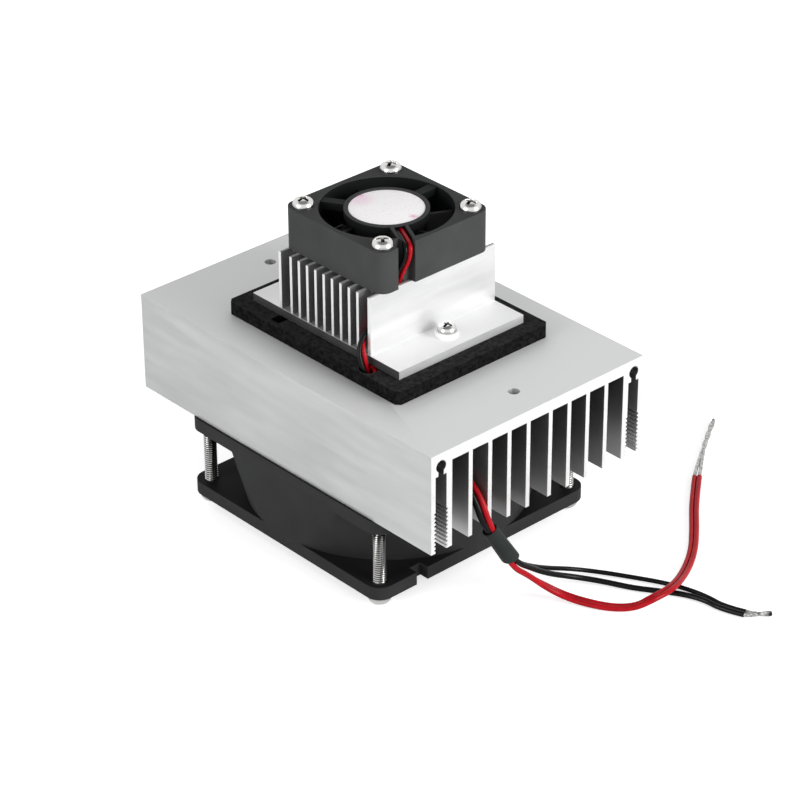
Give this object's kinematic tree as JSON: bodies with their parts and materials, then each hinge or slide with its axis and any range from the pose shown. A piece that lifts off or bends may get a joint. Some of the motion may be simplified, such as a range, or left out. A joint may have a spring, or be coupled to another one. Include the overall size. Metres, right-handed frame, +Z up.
{
  "type": "thermoelectric cooling module",
  "caption": "Thermoelectric cooler: a module in foam clamped between a small and a large finned heatsink, a fan on each, four leads.",
  "frame": {"origin": "on the surface that the lower fan's screw heads stand on, midway along both sides of the lower heatsink", "axes": "+Z up through both fans to the cold side, +Y along the lower heatsink's fins away from the side where the leads come out"},
  "size_m": [0.141, 0.1736, 0.0966],
  "materials": {
    "hot_aluminium": "natural extruded",
    "cold_aluminium": "natural extruded",
    "foam": "matte closed-cell foam",
    "ceramic": "fired ceramic",
    "sealant": "matte silicone",
    "semiconductor": "dull",
    "copper": "bare",
    "nylon": "white nylon",
    "plated_steel": "nickel plated",
    "fan_plastic": "matte, finely textured",
    "impeller_plastic": "satin",
    "label": "satin paper",
    "bronze": "sintered",
    "circuit_board": "varnished",
    "core_steel": "rolled",
    "ferrite": "bonded ferrite",
    "shaft_steel": "ground",
    "red_insulation": "glossy",
    "black_insulation": "glossy",
    "sleeve": "heat-shrink",
    "tinned_copper": "tinned"
  },
  "bodies": {
    "module": {"hot_heatsink": "hot_aluminium", "foam_gasket": "foam", "cold_heatsink": "cold_aluminium", "module_hot_plate": "ceramic", "module_cold_plate": "ceramic", "module_seal": "sealant", "module_legs": "semiconductor", "module_tabs": "copper", "clamp_washers": "nylon", "clamp_screws": "plated_steel", "cold_fan_frame": "fan_plastic", "cold_fan_label": "label", "cold_fan_bush": "bronze", "cold_fan_board": "circuit_board", "cold_fan_core": "core_steel", "cold_fan_coils": "copper", "cold_fan_screws": "plated_steel", "hot_fan_frame": "fan_plastic", "hot_fan_label": "label", "hot_fan_bush": "bronze", "hot_fan_board": "circuit_board", "hot_fan_core": "core_steel", "hot_fan_coils": "copper", "hot_fan_screws": "plated_steel", "cold_fan_red_lead": "red_insulation", "cold_fan_black_lead": "black_insulation", "module_red_lead": "red_insulation", "module_black_lead": "black_insulation", "lead_sleeve": "sleeve", "red_tinned_end": "tinned_copper", "black_tinned_end": "tinned_copper"},
    "cold_fan_rotor": {"cold_fan_impeller": "impeller_plastic", "cold_fan_yoke": "core_steel", "cold_fan_magnet": "ferrite", "cold_fan_shaft": "shaft_steel", "cold_fan_shaft_clip": "nylon"},
    "hot_fan_rotor": {"hot_fan_impeller": "impeller_plastic", "hot_fan_yoke": "core_steel", "hot_fan_magnet": "ferrite", "hot_fan_shaft": "shaft_steel", "hot_fan_shaft_clip": "nylon"}
  },
  "joints": [
    {"name": "cold_fan_spin", "type": "hinge", "parent": "module", "child": "cold_fan_rotor", "pos_m": [0, 0, 0.087], "axis": [0, 0, 1], "continuous": true},
    {"name": "hot_fan_spin", "type": "hinge", "parent": "module", "child": "hot_fan_rotor", "pos_m": [0, 0, 0.015], "axis": [0, 0, 1], "continuous": true}
  ]
}
